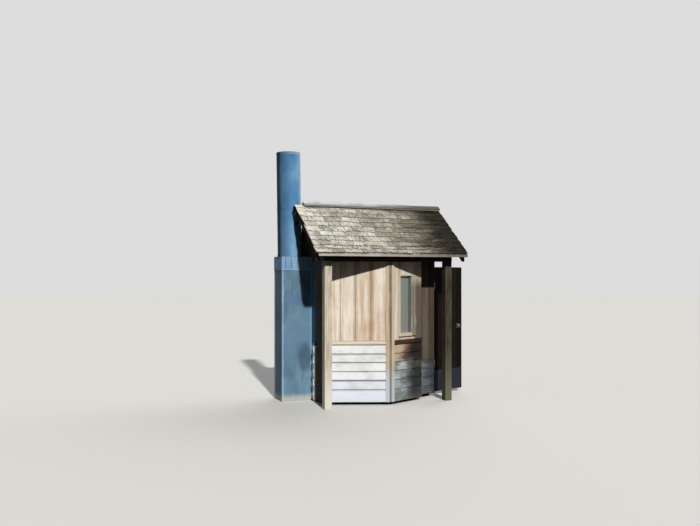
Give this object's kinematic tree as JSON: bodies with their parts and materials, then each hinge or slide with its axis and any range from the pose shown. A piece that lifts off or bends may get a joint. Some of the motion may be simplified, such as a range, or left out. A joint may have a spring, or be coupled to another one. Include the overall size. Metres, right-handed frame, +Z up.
{
  "type": "outhouse",
  "caption": "Small weathered wooden outhouse: folded bay front with a narrow window, steep shake roof on posts, side door that swings open, and a blue metal vent stack.",
  "frame": {"origin": "on the ground, midway between the four corner posts, at the underside of the floor deck", "axes": "+Z up, -Y out of the bay front, +X towards the side door, millimetre model in metres"},
  "size_m": [2.4967, 1.44, 3.0481],
  "materials": {
    "wall_boards": "dark weathered rough boards",
    "bay_boards": "warm upright boards, matt and weathered",
    "siding": "white paint worn to grey, flat boards",
    "trim": "worn pale paint over wood",
    "pane": "frosted grey green pane, dusty",
    "post_wood": "rough sawn square post, weathered",
    "frame_wood": "dark rough sawn framing wood",
    "inner_wood": "dull bare wood",
    "shakes": "split wooden shakes, grey and mossy",
    "cap_wood": "pale weathered cap boards",
    "stack_metal": "blue grey paint on sheet metal, chalky",
    "steel": "dull steel",
    "door_wood": "dark worn door boards",
    "kick_metal": "scuffed grey blue sheet"
  },
  "bodies": {
    "hut": {"floor_deck": "inner_wood", "left_wall": "wall_boards", "rear_wall": "wall_boards", "right_rear_jamb": "wall_boards", "door_head": "wall_boards", "front_corner_wall": "bay_boards", "corner_wall_siding": "siding", "bay_return": "bay_boards", "bay_left_wall": "bay_boards", "bay_left_siding": "siding", "bay_left_rail": "trim", "bay_right_wall": "bay_boards", "bay_right_siding": "siding", "bay_right_rail": "trim", "corner_boards": "trim", "window_frame": "trim", "window_pane": "pane", "left_gable": "wall_boards", "right_gable": "wall_boards", "front_left_post": "post_wood", "front_right_post": "post_wood", "rear_left_post": "post_wood", "rear_right_post": "post_wood", "front_header": "frame_wood", "rear_header": "frame_wood", "ridge_board": "frame_wood", "left_barge_rafters": "frame_wood", "right_barge_rafters": "frame_wood", "inner_rafters": "frame_wood", "front_sheathing": "frame_wood", "rear_sheathing": "frame_wood", "front_shakes": "shakes", "rear_shakes": "shakes", "ridge_cap": "cap_wood", "stack_box": "stack_metal", "stack_lid": "stack_metal", "stack_collar": "stack_metal", "stack_pipe": "stack_metal", "door_stops": "inner_wood", "hinge_leaves_frame": "steel", "hinge_pins": "steel"},
    "door": {"side_door": "door_wood", "kick_plate": "kick_metal", "door_knob": "steel", "hinge_leaves_door": "steel"}
  },
  "joints": [
    {"name": "door_hinge", "type": "hinge", "parent": "hut", "child": "door", "pos_m": [0.8115, -0.1375, 0], "axis": [0, 0, 1], "range_deg": [-64, 71]}
  ]
}
